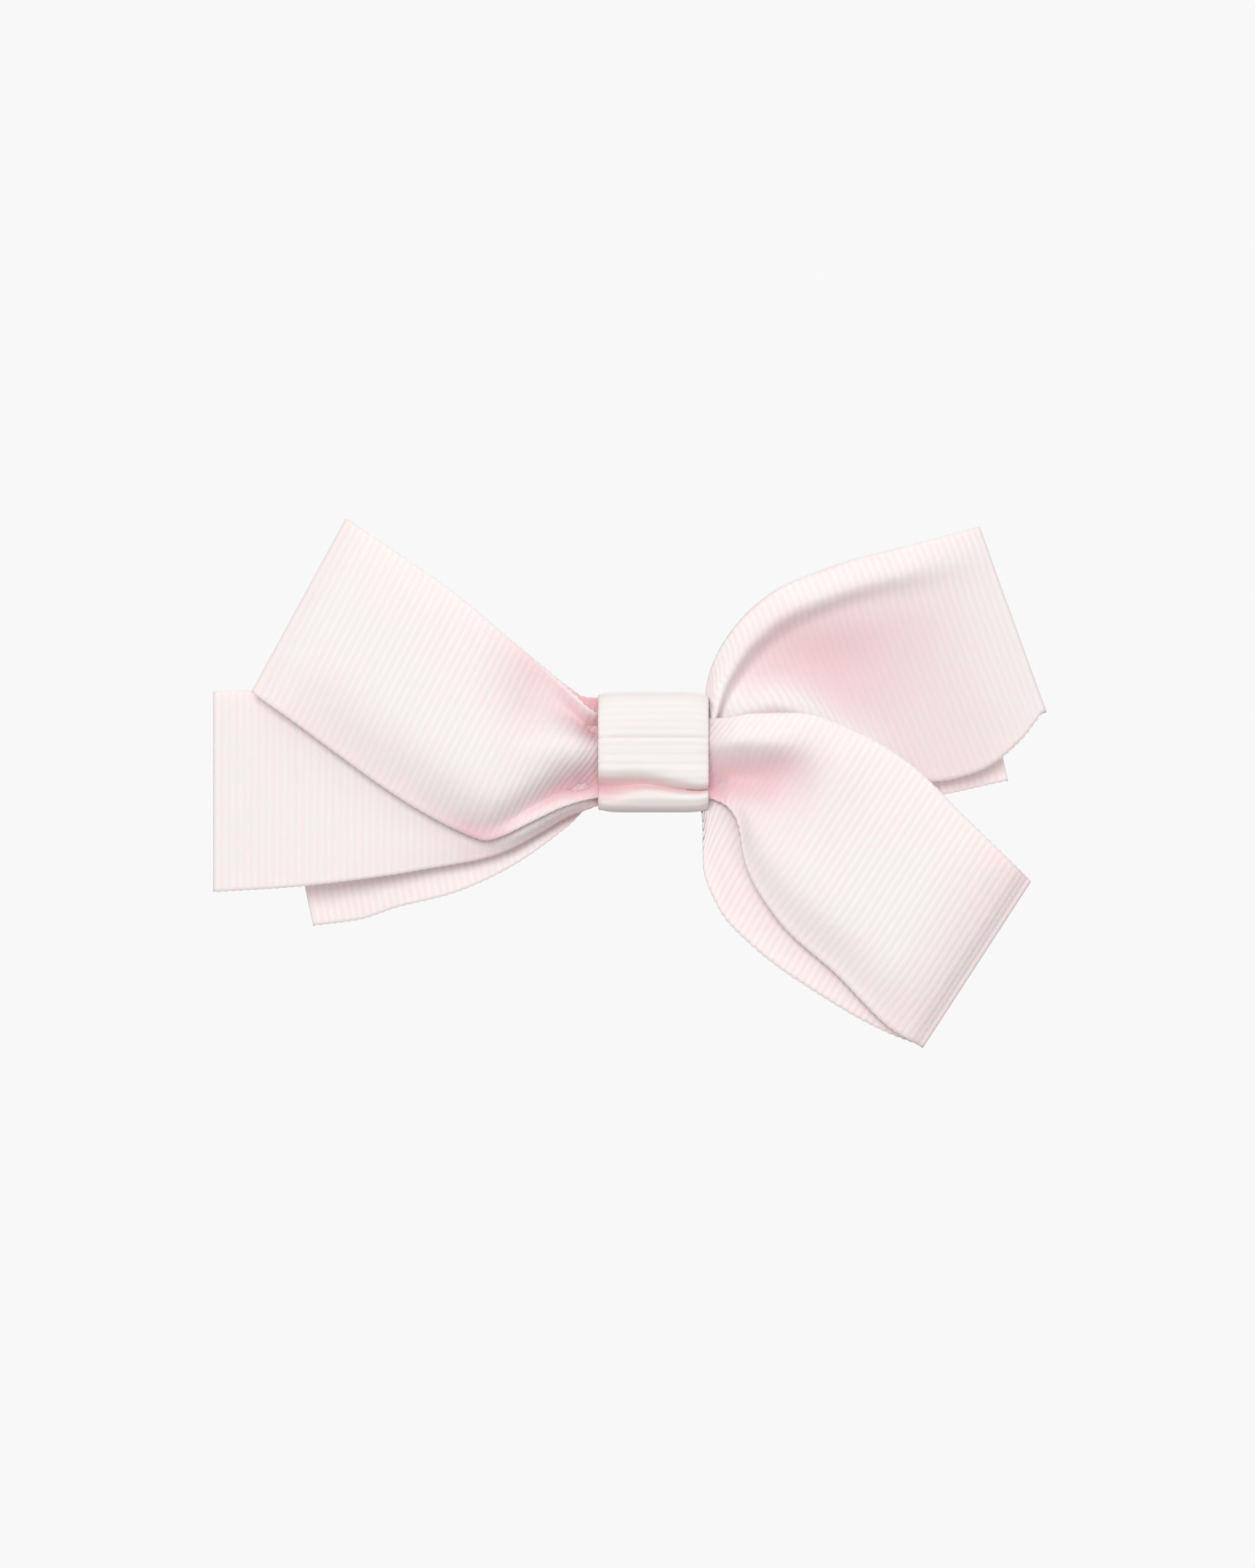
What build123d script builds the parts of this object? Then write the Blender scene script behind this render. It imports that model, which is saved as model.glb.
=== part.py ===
"""Ribbon hair bow on a sprung alligator clip. All sizes are in millimetres.

The bow faces -Y, +Z is up and the clip lies behind it along X, with its mouth at -X.
The origin is on the inner face of the clip's front jaw, behind the middle of the knot.
"""

import os
from math import acos, asin, atan2, cos, degrees, hypot, radians, sin

from build123d import *

# ribbon
ribbon_width = 22.2
ribbon_thick = 0.45
fold_radius = 0.5  # of the ribbon's middle line where a loop turns back

# ribbons, one table for each: tilt is degrees above the horizontal, reach is from the knot to the
# fold or cut end, shift moves that end across the ribbon's run, and flare is how far out the ribbon
# is at its full width again, where the front and back layers lean across the run by their own amount
front_left_loop = dict(
    side=-1, tilt=28.3, reach=42.1, shift=-4.1, flare=12.5, lean_front=-6.0, lean_back=-5.0
)
front_right_loop = dict(
    side=1, tilt=-33.1, reach=42.2, shift=0.1, flare=15.5, lean_front=3.3, lean_back=-0.8
)
rear_left_loop = dict(
    side=-1, tilt=0.0, reach=48.6, shift=-4.15, flare=16.0, lean_front=-0.2, lean_back=-0.6
)
rear_right_loop = dict(
    side=1, tilt=20.0, reach=42.3, shift=0.5, flare=16.0, lean_front=1.2, lean_back=-2.6
)
left_tail = dict(side=-1, tilt=-12.0, reach=41.2, shift=0.0, flare=18.0, lean_front=0.0)
right_tail = dict(side=1, tilt=12.0, reach=38.0, shift=0.0, flare=18.0, lean_front=0.0)

# gathered middle, where the five ribbon layers lie on each other
neck_half_height = 4.9  # along Z
gathered_thick = 0.8
layer_gap = 0.05
straight_reach = 8.5  # the layers stay parallel this far out of the middle
tail_clearance = 0.3  # between the tails and the lined jaw behind them

# clip
jaw_width = 8.0
sheet = 0.6
jaw_gap = 5.2  # between the inner faces of the two jaws
jaw_tip = 23.0  # from the middle to the tip
jaw_heel = 22.0  # from the middle to the end of the front lever
bend_radius = 0.9  # inside every bend of the sheet
nose_run = 4.5  # length along X of the back jaw's bent nose
tooth_count = 5
tooth_depth = 0.9
hinge_x = 10.0
pin_radius = 0.75
pin_clearance = 0.05
ear_radius = 1.8
ear_gap = 0.1  # between a front ear and the back ear outside it
rivet_head_radius = 1.35
rivet_head_thick = 0.4
lever_bend_x = 12.6
lever_end_y = 10.4
lever_ridges = 3
first_ridge = 0.45  # share of the way along the lever
ridge_spacing = 0.17
ridge_radius = 0.35
corner_radius = 2.0

# spring
wire_radius = 0.35
coil_radius = 1.25  # of the wire's middle line
coil_turns = 4
wire_gap = 0.12  # between turns
leg_length = 7.5

# ribbon glued round the front jaw
lining_width = 10.0
lining_inner_end = -8.0  # x where the part inside the mouth stops

# glue, thread and knot
glue_thick = 0.3
glue_half_length = 4.5
glue_half_height = 3.6
thread_radius = 0.2
thread_turns = 5
thread_pitch = 0.45
fit_gap = 0.05
knot_half_width = 6.0
knot_thick = 0.5
knot_ease_front = 0.35  # between the thread and the knot, towards the front
knot_ease_height = 0.75  # the same, upwards and downwards
knot_corner_radius = 2.0

# places worked out from the sizes above
neck_half_width = knot_half_width + fit_gap
pin_y = jaw_gap / 2
lining_front = -sheet - ribbon_thick
glue_front = lining_front - glue_thick
thread_back = glue_front - fit_gap - thread_radius
stack_back = thread_back - thread_radius - layer_gap


def layer_y(number):
    """Middle depth of a gathered layer, counted from the back."""
    return stack_back - gathered_thick / 2 - number * (gathered_thick + layer_gap)


stack_front = layer_y(4) - gathered_thick / 2
thread_front = stack_front - layer_gap - thread_radius
thread_half_height = neck_half_height + layer_gap + thread_radius
knot_front = thread_front - thread_radius - knot_ease_front - knot_thick / 2
knot_half_height = thread_half_height + thread_radius + knot_ease_height + knot_thick / 2
past_everything = 4 * ribbon_width


def run_and_rise(loop):
    """Unit vectors along a ribbon and across it, the second pointing up."""
    tilt = radians(loop["tilt"])
    run = Vector(loop["side"] * cos(tilt), 0, sin(tilt))
    rise = Vector(-loop["side"] * sin(tilt), 0, cos(tilt))
    return run, rise


def front_view_outline(loop, lean):
    """Outline of a ribbon seen from the front: straight to the flare, then in to the neck."""
    run, rise = run_and_rise(loop)
    half = ribbon_width / 2

    def at(along, across):
        point = run * along + rise * across
        return (point.X, point.Z)

    slope = (loop["shift"] - lean) / (loop["reach"] - loop["flare"])
    past_end = loop["reach"] + ribbon_width
    past_shift = loop["shift"] + slope * ribbon_width
    with BuildSketch(Plane.XZ) as outline:
        with BuildLine():
            Polyline(
                (0, neck_half_height),
                (loop["side"] * neck_half_width, neck_half_height),
                at(loop["flare"], lean + half),
                at(past_end, past_shift + half),
                at(past_end, past_shift - half),
                at(loop["flare"], lean - half),
                (loop["side"] * neck_half_width, -neck_half_height),
                (0, -neck_half_height),
                close=True,
            )
        make_face()
    return outline.sketch


def cut_to_outline(loop, side_view, lean):
    """Carries a side view across the ribbon's width and trims it to its front view."""
    outside_knot = neck_half_width - layer_gap + past_everything / 2
    with BuildPart() as strip:
        extrude(side_view, amount=past_everything / 2, both=True)
        extrude(
            front_view_outline(loop, lean), amount=past_everything, both=True, mode=Mode.INTERSECT
        )
        with Locations((loop["side"] * outside_knot, 0, 0)):
            Box(past_everything, past_everything, past_everything, mode=Mode.INTERSECT)
    return strip.part


def side_plane(loop):
    """Plane of a ribbon's side view: x along its run, y towards the front."""
    run, _ = run_and_rise(loop)
    return Plane(origin=(0, 0, 0), x_dir=run, z_dir=run.cross(Vector(0, -1, 0)))


def half_loop(loop, layer, rise, fold_depth, lean, turn):
    """One layer of a loop, from the knot to the middle of its fold.

    rise is how far it bows towards the front part way out, fold_depth is how far ahead of the
    origin its fold lies, and turn is 1 for the front layer and -1 for the back one.
    """
    start = -layer_y(layer)
    fold_at = loop["reach"] - fold_radius - ribbon_thick / 2
    belly_at = straight_reach + 0.45 * (fold_at - straight_reach)
    fold_start = fold_depth + turn * fold_radius
    half_way = fold_radius * sin(radians(45))
    with BuildSketch(side_plane(loop)) as side_view:
        with BuildLine():
            Line((0, start), (straight_reach, start))
            Spline(
                (straight_reach, start),
                (belly_at, start + rise),
                (fold_at, fold_start),
                tangents=[(1, 0), (1, 0)],
            )
            ThreePointArc(
                (fold_at, fold_start),
                (fold_at + half_way, fold_depth + turn * half_way),
                (fold_at + fold_radius, fold_depth),
            )
        trace(line_width=ribbon_thick)
    return cut_to_outline(loop, side_view.sketch, lean)


def ribbon_loop(loop, front_layer, front_rise, back_rise, fold_rise):
    """A loop that leaves the knot on one layer, folds at its reach and returns on the next."""
    fold_depth = fold_rise - (layer_y(front_layer) + layer_y(front_layer - 1)) / 2
    front = half_loop(loop, front_layer, front_rise, fold_depth, loop["lean_front"], 1)
    back = half_loop(loop, front_layer - 1, back_rise, fold_depth, loop["lean_back"], -1)
    return front + back


def ribbon_tail(loop, layer, end_depth):
    """A single strip that runs out over the clip and then bends back to its cut end."""
    depth = -layer_y(layer)
    clear_of_clip = -lining_front + tail_clearance + ribbon_thick / 2
    over_clip = jaw_tip + 2
    with BuildSketch(side_plane(loop)) as side_view:
        with BuildLine():
            Line((0, depth), (straight_reach, depth))
            Spline(
                (straight_reach, depth), (over_clip, clear_of_clip), tangents=[(1, 0), (1, 0)]
            )
            Spline(
                (over_clip, clear_of_clip),
                (loop["reach"], end_depth),
                tangents=[(1, 0), (1, -0.35)],
            )
        trace(line_width=ribbon_thick)
    return cut_to_outline(loop, side_view.sketch, loop["lean_front"])


def gathered(layer):
    """The part of a layer that lies inside the knot."""
    with BuildPart() as middle:
        with Locations((0, layer_y(layer), 0)):
            Box(2 * neck_half_width, gathered_thick, 2 * neck_half_height)
    return middle.part


# front pair of loops: one ribbon folded into a flat ring
with BuildPart() as front_loops:
    add(ribbon_loop(front_left_loop, 4, front_rise=4.4, back_rise=1.2, fold_rise=2.0))
    add(ribbon_loop(front_right_loop, 4, front_rise=4.4, back_rise=1.2, fold_rise=2.0))
    add(gathered(4))
    add(gathered(3))
front_loops.part.label = "front_loops"

# rear pair of loops, behind the front pair
with BuildPart() as rear_loops:
    add(ribbon_loop(rear_left_loop, 2, front_rise=0.4, back_rise=-0.75, fold_rise=-0.8))
    add(ribbon_loop(rear_right_loop, 2, front_rise=0.4, back_rise=-0.75, fold_rise=-0.8))
    add(gathered(2))
    add(gathered(1))
rear_loops.part.label = "rear_loops"

# tails: one straight piece of ribbon behind the loops, with both ends cut square
with BuildPart() as tails:
    add(ribbon_tail(left_tail, 0, end_depth=-1.6))
    add(ribbon_tail(right_tail, 0, end_depth=-1.4))
    add(gathered(0))
tails.part.label = "tails"

# thread: turns wound tight round the gathered middle
with BuildPart() as gather_thread:
    for turn in range(thread_turns):
        turn_x = (turn - (thread_turns - 1) / 2) * thread_pitch
        with BuildLine(Plane.YZ.offset(turn_x)) as winding:
            FilletPolyline(
                (thread_front, thread_half_height),
                (thread_back, thread_half_height),
                (thread_back, -thread_half_height),
                (thread_front, -thread_half_height),
                radius=0.5,
                close=True,
            )
        with BuildSketch(Plane(winding.line @ 0, z_dir=winding.line % 0)):
            Circle(thread_radius)
        sweep(path=winding.line)
gather_thread.part.label = "gather_thread"

# knot: a ribbon wrapped over the gathered middle and round the clip's front jaw
side_of_jaw = lining_width / 2 + 2 * fit_gap + knot_thick / 2
back_pass = fit_gap + knot_thick / 2
with BuildPart() as knot:
    with BuildSketch(Plane.YZ):
        with BuildLine():
            FilletPolyline(
                (knot_front, knot_half_height),
                (glue_front, knot_half_height),
                (-sheet, side_of_jaw),
                (back_pass, side_of_jaw),
                (back_pass, -side_of_jaw),
                (-sheet, -side_of_jaw),
                (glue_front, -knot_half_height),
                (knot_front, -knot_half_height),
                radius=[knot_corner_radius, 0.5, 0.3, 0.3, 0.3, 0.3, 0.5, knot_corner_radius],
                close=True,
            )
        trace(line_width=knot_thick)
    extrude(amount=knot_half_width, both=True)
knot.part.label = "knot"

# glue: the pad that holds the bow to the lined jaw
with BuildPart() as glue_pad:
    with BuildSketch(Plane.XZ.offset(-lining_front)):
        RectangleRounded(2 * glue_half_length, 2 * glue_half_height, 1.0)
    extrude(amount=glue_thick)
glue_pad.part.label = "glue_pad"

# lining: a narrow ribbon glued over the front jaw, turned in round its tip
with BuildPart() as clip_lining:
    outside = -sheet - ribbon_thick / 2
    inside = ribbon_thick / 2
    turn_x = -jaw_tip
    turn_radius = (inside - outside) / 2
    with BuildSketch(Plane.XY):
        with BuildLine():
            Line((jaw_heel, outside), (turn_x, outside))
            ThreePointArc(
                (turn_x, outside),
                (turn_x - turn_radius, (inside + outside) / 2),
                (turn_x, inside),
            )
            Line((turn_x, inside), (lining_inner_end, inside))
        trace(line_width=ribbon_thick)
    extrude(amount=lining_width / 2, both=True)
clip_lining.part.label = "clip_lining"


def ear_pair(inner_z, hole_radius, root_y):
    """Two rounded lugs of sheet on the hinge line, from the plate at root_y round the pin."""
    with BuildPart() as ears:
        for z in (inner_z, -inner_z - sheet):
            with BuildSketch(Plane.XY.offset(z)):
                with BuildLine():
                    l1 = Line((hinge_x - ear_radius, root_y), (hinge_x - ear_radius, pin_y))
                    reach = pin_y + ear_radius if root_y < pin_y else pin_y - ear_radius
                    l2 = ThreePointArc(l1 @ 1, (hinge_x, reach), (hinge_x + ear_radius, pin_y))
                    Line(l2 @ 1, (hinge_x + ear_radius, root_y))
                    Line((hinge_x + ear_radius, root_y), l1 @ 0)
                make_face()
                with Locations((hinge_x, pin_y)):
                    Circle(hole_radius, mode=Mode.SUBTRACT)
            extrude(amount=sheet)
    return ears.part


back_ear_inner = jaw_width / 2 - sheet
front_ear_inner = back_ear_inner - ear_gap - sheet

# front jaw: flat steel strip with its lever, and the inner pair of ears
with BuildPart() as front_jaw:
    with BuildSketch(Plane.XZ) as front_plate:
        with Locations(((jaw_heel - jaw_tip) / 2, 0)):
            Rectangle(jaw_heel + jaw_tip, jaw_width)
        fillet(front_plate.vertices(), corner_radius)
    extrude(amount=sheet)
    add(ear_pair(front_ear_inner, pin_radius, -sheet / 2))
front_jaw.part.label = "front_jaw"

# back jaw: strip with a bent nose and a bent lever, and the outer pair of ears
nose_tip_y = ribbon_thick + fit_gap
plate_y = jaw_gap + sheet / 2
with BuildPart() as back_jaw:
    with BuildSketch(Plane.XY):
        with BuildLine():
            FilletPolyline(
                (-jaw_tip, nose_tip_y + sheet / 2),
                (-jaw_tip + nose_run, plate_y),
                (lever_bend_x, plate_y),
                (jaw_heel, lever_end_y - sheet / 2),
                radius=bend_radius + sheet / 2,
            )
        trace(line_width=sheet)
    extrude(amount=jaw_width / 2, both=True)
    with BuildSketch(Plane.XZ) as back_outline:
        with Locations(((jaw_heel - jaw_tip) / 2, 0)):
            Rectangle(jaw_heel + jaw_tip + 2 * sheet, jaw_width)
        fillet(back_outline.vertices(), corner_radius)
    extrude(amount=2 * lever_end_y, both=True, mode=Mode.INTERSECT)
    # flat underside of the nose, so that it stops just short of the lining
    with Locations((0, nose_tip_y - jaw_gap, 0)):
        Box(4 * jaw_tip, 2 * jaw_gap, 2 * jaw_width, mode=Mode.SUBTRACT)
    # teeth: notches across the edge of the nose
    tooth_pitch = (jaw_width - corner_radius) / tooth_count
    with BuildSketch(Plane.YZ.offset(-jaw_tip - sheet)):
        with Locations((nose_tip_y, 0)):
            with GridLocations(0, tooth_pitch, 1, tooth_count):
                Polygon(
                    (0, -tooth_pitch / 2 + 0.1),
                    (tooth_depth, 0),
                    (0, tooth_pitch / 2 - 0.1),
                    align=None,
                )
    extrude(amount=nose_run, mode=Mode.SUBTRACT)
    add(ear_pair(back_ear_inner, pin_radius + pin_clearance, jaw_gap + sheet / 2))
    # ridges pressed across the lever for the thumb
    lever_run = jaw_heel - lever_bend_x
    lever_rise = lever_end_y - sheet / 2 - plate_y
    lever_normal = Vector(-lever_rise, lever_run, 0).normalized()
    for ridge in range(lever_ridges):
        share = first_ridge + ridge_spacing * ridge
        on_lever = Vector(lever_bend_x + share * lever_run, plate_y + share * lever_rise, 0)
        centre = on_lever + lever_normal * (sheet - ridge_radius)
        with Locations((centre.X, centre.Y, 0)):
            Cylinder(ridge_radius, jaw_width - 2 * corner_radius)
back_jaw.part.label = "back_jaw"

# hinge pin: rivet through all four ears, with a formed head at each end
head_inner_z = jaw_width / 2 + pin_clearance
with BuildPart() as hinge_pin:
    with Locations((hinge_x, pin_y, 0)):
        Cylinder(pin_radius, 2 * head_inner_z)
    for sign in (-1, 1):
        with Locations((hinge_x, pin_y, sign * (head_inner_z + rivet_head_thick / 2))):
            Cylinder(rivet_head_radius, rivet_head_thick)
    rims = hinge_pin.edges().filter_by(GeomType.CIRCLE).group_by(Axis.Z)
    fillet([rims[0].sort_by(SortBy.RADIUS)[-1], rims[-1].sort_by(SortBy.RADIUS)[-1]], 0.25)
hinge_pin.part.label = "hinge_pin"

# spring: coil round the pin with one leg along each lever
# the front leg leaves the coil at the angle that lays its end on the front jaw, and the back leg
# at the angle that makes it touch the bend of the back lever
leg_clearance = wire_radius + fit_gap
front_leg_angle = degrees(
    asin((pin_y - leg_clearance) / hypot(leg_length, coil_radius)) - atan2(coil_radius, leg_length)
)
bend_dx = lever_bend_x - hinge_x
bend_dy = jaw_gap - pin_y
back_leg_angle = degrees(
    acos((coil_radius + leg_clearance) / hypot(bend_dx, bend_dy)) - atan2(bend_dx, bend_dy)
)
turns = coil_turns + 0.5 - (front_leg_angle + back_leg_angle) / 360
coil_pitch = 2 * wire_radius + wire_gap
coil_height = turns * coil_pitch
hinge_axis = Axis((hinge_x, pin_y, 0), (0, 0, 1))
coil = Helix(
    pitch=coil_pitch,
    height=coil_height,
    radius=coil_radius,
    center=(hinge_x, pin_y, -coil_height / 2),
).rotate(hinge_axis, 90 + back_leg_angle)
with BuildPart() as torsion_spring:
    with BuildLine() as wire:
        back_leg = Line(coil @ 0 - (coil % 0) * leg_length, coil @ 0)
        add(coil)
        Line(coil @ 1, coil @ 1 + (coil % 1) * leg_length)
    with BuildSketch(Plane(back_leg @ 0, z_dir=back_leg % 0)):
        Circle(wire_radius)
    sweep(path=wire.wire())
torsion_spring.part.label = "torsion_spring"

pieces = [front_loops, rear_loops, tails, gather_thread, knot, glue_pad, clip_lining]
pieces += [front_jaw, back_jaw, hinge_pin, torsion_spring]
os.makedirs("parts", exist_ok=True)
for piece in pieces:
    export_step(piece.part, f"parts/{piece.part.label}.step")
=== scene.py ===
import math

import bpy
import numpy as np
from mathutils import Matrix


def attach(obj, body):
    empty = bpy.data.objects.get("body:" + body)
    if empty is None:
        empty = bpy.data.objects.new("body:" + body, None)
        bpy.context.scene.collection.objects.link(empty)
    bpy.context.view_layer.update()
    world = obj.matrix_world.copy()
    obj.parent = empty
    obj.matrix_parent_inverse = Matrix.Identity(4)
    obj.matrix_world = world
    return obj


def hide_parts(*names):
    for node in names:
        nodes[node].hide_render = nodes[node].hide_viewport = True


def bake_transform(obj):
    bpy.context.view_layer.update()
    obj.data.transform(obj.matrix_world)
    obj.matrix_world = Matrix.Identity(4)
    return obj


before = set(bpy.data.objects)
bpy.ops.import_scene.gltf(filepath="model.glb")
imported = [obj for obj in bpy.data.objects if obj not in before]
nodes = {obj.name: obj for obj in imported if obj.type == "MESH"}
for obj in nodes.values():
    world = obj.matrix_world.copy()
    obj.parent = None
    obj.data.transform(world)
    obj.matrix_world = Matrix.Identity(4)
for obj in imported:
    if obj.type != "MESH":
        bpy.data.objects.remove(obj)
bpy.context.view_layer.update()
print("stage: frame loaded")

# Sizes in the tables are millimetres: x to the right, z up, depth towards the viewer (-Y).
millimetre = 0.001
ribbon = {
    "width": 22.2,
    "thickness": 0.3,
    "ribPitch": 0.82,
    "ribHeight": 0.042,
    "edgeSwell": 0.05,
    "rowsPerRib": 4,
    "columns": 48,
    "pathSteps": 220,
    "foldRadius": 0.5,
    "foldSteps": 12,
    "parallelShare": 0.32,  # of the way along, up to where rows lie parallel to their fold
    "paintedShadeSpread": 1.35,  # a fold's painted shade reaches this much farther than its height
}


# value at each place = monotone cubic through the points: the slope at a point is the harmonic
# mean of the slopes of its two spans, zero where they change sign, and its one span's at an end
def smoothThrough(points, places):
    stops, values = np.array(points, float).T
    spans = np.diff(stops)
    slopes = np.diff(values) / spans
    together = slopes[:-1] * slopes[1:]
    total = slopes[:-1] + slopes[1:]
    inner = np.where(together > 0, 2 * together / np.where(together > 0, total, 1), 0)
    tangents = np.concatenate([slopes[:1], inner, slopes[-1:]])
    places = np.clip(places, stops[0], stops[-1])
    span = np.clip(np.searchsorted(stops, places, side="right") - 1, 0, len(spans) - 1)
    width = spans[span]
    share = (places - stops[span]) / width
    return (
        (1 + 2 * share) * (1 - share) ** 2 * values[span]
        + share * (1 - share) ** 2 * width * tangents[span]
        + share**2 * (3 - 2 * share) * values[span + 1]
        - share**2 * (1 - share) * width * tangents[span + 1]
    )


# 0 up to 1 without a corner = 3 share^2 - 2 share^3
def smoothStep(share):
    share = np.clip(share, 0, 1)
    return share * share * (3 - 2 * share)


# bell = exp(-(distance / spread)^2)
def bell(distance, spread):
    return np.exp(-((distance / spread) ** 2))


# unit vectors = vectors / their lengths
def unit(vectors):
    return vectors / np.linalg.norm(vectors, axis=-1, keepdims=True)


# distance run at each row = running sum of the steps between rows
def runLength(points):
    steps = np.linalg.norm(np.diff(points, axis=0), axis=-1)
    return np.concatenate([np.zeros((1,) + steps.shape[1:]), np.cumsum(steps, axis=0)])


# smooth curve through corner points, at the given distances along their chords
def throughCorners(points, chord, places):
    return np.stack(
        [smoothThrough(np.stack([chord, points[:, axis]], 1), places) for axis in (0, 1)], -1
    )


# point on an edge = smooth curve through its corner points, at a share of its chord length
def edgeCurve(points, along):
    points = np.array(points, float)
    chord = runLength(points)
    return throughCorners(points, chord / chord[-1], along)


# layer point = lower edge + share across x (upper edge - lower edge), at depth = base depth
# + lean x (share across - half) + sum of each fold's height x bell of the distance from its line;
# the fourth number is the share of painted shade, a deeper pink, a like sum of each fold's painted
# shade
def layerSurface(layer, across):
    along = np.linspace(0, 1, ribbon["pathSteps"])[:, None] + 0 * across
    upper = edgeCurve(layer["upper"], along)
    lower = edgeCurve(layer["lower"], along)
    flat = lower + (upper - lower) * across[..., None]
    width = np.linalg.norm(upper - lower, axis=-1)
    depth = smoothThrough(layer["depth"], along)
    if "lean" in layer:
        depth = depth + smoothThrough(layer["lean"], along) * (across - 0.5)
    paintedShade = smoothThrough(layer["paintedShade"], along)
    for fold in layer.get("folds", []):
        offset = (across - smoothThrough(fold["at"], along)) * width
        above = smoothThrough(fold["above"], along)
        below = smoothThrough(fold["below"], along)
        spread = np.where(offset > 0, above, below)
        if "height" in fold:
            depth = depth + smoothThrough(fold["height"], along) * bell(offset, spread)
        if "paintedShade" in fold:
            wider = ribbon["paintedShadeSpread"] * spread
            paintedShade = paintedShade + smoothThrough(fold["paintedShade"], along) * bell(offset, wider)
    return np.stack([flat[..., 0], -depth, flat[..., 1], paintedShade], -1)


# quarter turn from the end of a layer to the middle of its fold: out by radius x sin(angle),
# depth = middle + half gap x cos(angle)
def foldQuarter(end, other, outward):
    angle = np.linspace(0, math.pi / 2, ribbon["foldSteps"])[1:, None, None]
    middle = (end + other) / 2
    out = outward * ribbon["foldRadius"] * np.sin(angle)
    return middle + (end - middle) * np.cos(angle) + out


# rows of equal length from both folds inwards: wanted length = mean length x share
# + (own length - mean length) x smooth step over the middle, so ribs stay parallel to the folds;
# the columns are set apart, so that one interpolation serves them all
def evenRows(points, count):
    arcs = runLength(points[..., :3])
    own = arcs[-1]
    share = np.linspace(0, 1, count + 1)[:, None]
    start = ribbon["parallelShare"]
    wanted = own.mean() * share + (own - own.mean()) * smoothStep((share - start) / (1 - 2 * start))
    apart = np.arange(points.shape[1]) * 2 * own.max()
    where, known = (wanted + apart).T.ravel(), (arcs + apart).T.ravel()
    size = points.shape[2]
    parts = [np.interp(where, known, points[..., axis].T.ravel()) for axis in range(size)]
    return np.stack(parts, -1).reshape(points.shape[1], count + 1, size).transpose(1, 0, 2)


# normal = (slope across) x (slope along), made unit length
def gridNormals(points, closed):
    if closed:
        along = np.roll(points, -1, 0) - np.roll(points, 1, 0)
    else:
        along = np.gradient(points, axis=0)
    normal = np.cross(np.gradient(points, axis=1), along)
    return normal / np.maximum(np.linalg.norm(normal, axis=2, keepdims=True), 1e-9)


# ribbed point = point + rib height x cos(turns along) on the normal, and the edge columns swell
# by the same wave across the ribbon
def addRibs(points, rowsPerRib, height, closed=False, edgeSwell=ribbon["edgeSwell"]):
    wave = np.cos(2 * math.pi * np.arange(points.shape[0]) / rowsPerRib)[:, None, None]
    paintedShade, points = points[..., 3:], points[..., :3]
    ribbed = points + gridNormals(points, closed) * height * wave
    for edge, inside in ((0, 1), (-1, -2)):
        ribbed[:, edge] += unit(points[:, edge] - points[:, inside]) * edgeSwell * wave[:, 0]
    return np.concatenate([ribbed, paintedShade], 2)


# mesh face = four neighbouring grid points; a closed grid joins its last row or column back to the
# first, a capped one closes its first and last rows with one face each, and the weave map is
# (share along the rows, share across the columns)
def gridObject(name, points, closedRows=False, closedColumns=False, capped=False):
    paintedShade = points[..., 3] if points.shape[2] > 3 else np.zeros(points.shape[:2])
    points = points[..., :3]
    rows, columns = points.shape[:2]
    rowCount = rows if closedRows else rows - 1
    columnCount = columns if closedColumns else columns - 1
    row, column = np.meshgrid(np.arange(rowCount), np.arange(columnCount), indexing="ij")
    corners = [(row, column), (row, column + 1), (row + 1, column + 1), (row + 1, column)]
    faces = np.stack([(r % rows) * columns + c % columns for r, c in corners], -1)
    faces = faces.reshape(-1, 4).tolist()
    uv = np.stack([np.stack([r / rowCount, c / columnCount], -1) for r, c in corners], 2)
    uv = uv.reshape(-1, 2)
    if capped:
        last = (rows - 1) * columns
        faces += [list(range(columns - 1, -1, -1)), list(range(last, last + columns))]
        uv = np.concatenate([uv, np.zeros((2 * columns, 2))])
    mesh = bpy.data.meshes.new(name)
    mesh.from_pydata((points.reshape(-1, 3) * millimetre).tolist(), [], faces)
    mesh.uv_layers.new(name="weave").data.foreach_set("uv", uv.reshape(-1).astype(np.float32))
    # the share of painted shade goes on the mesh as a point attribute
    share = np.clip(paintedShade, 0, 1).reshape(-1).astype(np.float32)
    mesh.attributes.new("paintedShade", "FLOAT", "POINT").data.foreach_set("value", share)
    mesh.shade_smooth()
    mesh.update()
    piece = bpy.data.objects.new(name, mesh)
    bpy.context.scene.collection.objects.link(piece)
    return piece


# tube point = path point + radius x (cos x side - sin x up), side = tangent x axis; a small ring
# and a cap close each end
def tubeObject(name, path, radius, axis, sides):
    tangent = unit(np.gradient(path, axis=0))
    side = unit(np.cross(tangent, np.array(axis, float)))
    up = np.cross(side, tangent)
    path, side, up = [np.concatenate([rows[:1], rows, rows[-1:]]) for rows in (path, side, up)]
    size = np.full(len(path), radius)
    size[[0, -1]] *= 0.02  # the small rings
    angle = np.linspace(0, 2 * math.pi, sides, endpoint=False)[:, None]
    ring = np.cos(angle) * side[:, None] - np.sin(angle) * up[:, None]
    points = path[:, None] + ring * size[:, None, None]
    return gridObject(name, points, closedColumns=True, capped=True)


# cloth surface = the grid moved half the thickness to each side
def thicken(piece, thickness):
    solidify = piece.modifiers.new("thickness", "SOLIDIFY")
    solidify.thickness = thickness * millimetre
    solidify.offset = 0
    solidify.use_even_offset = False


# material whose shader sockets have the given values, with its node tree and shader
def addMaterial(name, sockets):
    material = bpy.data.materials.new(name)
    material.use_nodes = True
    shader = material.node_tree.nodes["Principled BSDF"]
    for socket, value in sockets.items():
        shader.inputs[socket].default_value = value
    return material, material.node_tree, shader


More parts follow.
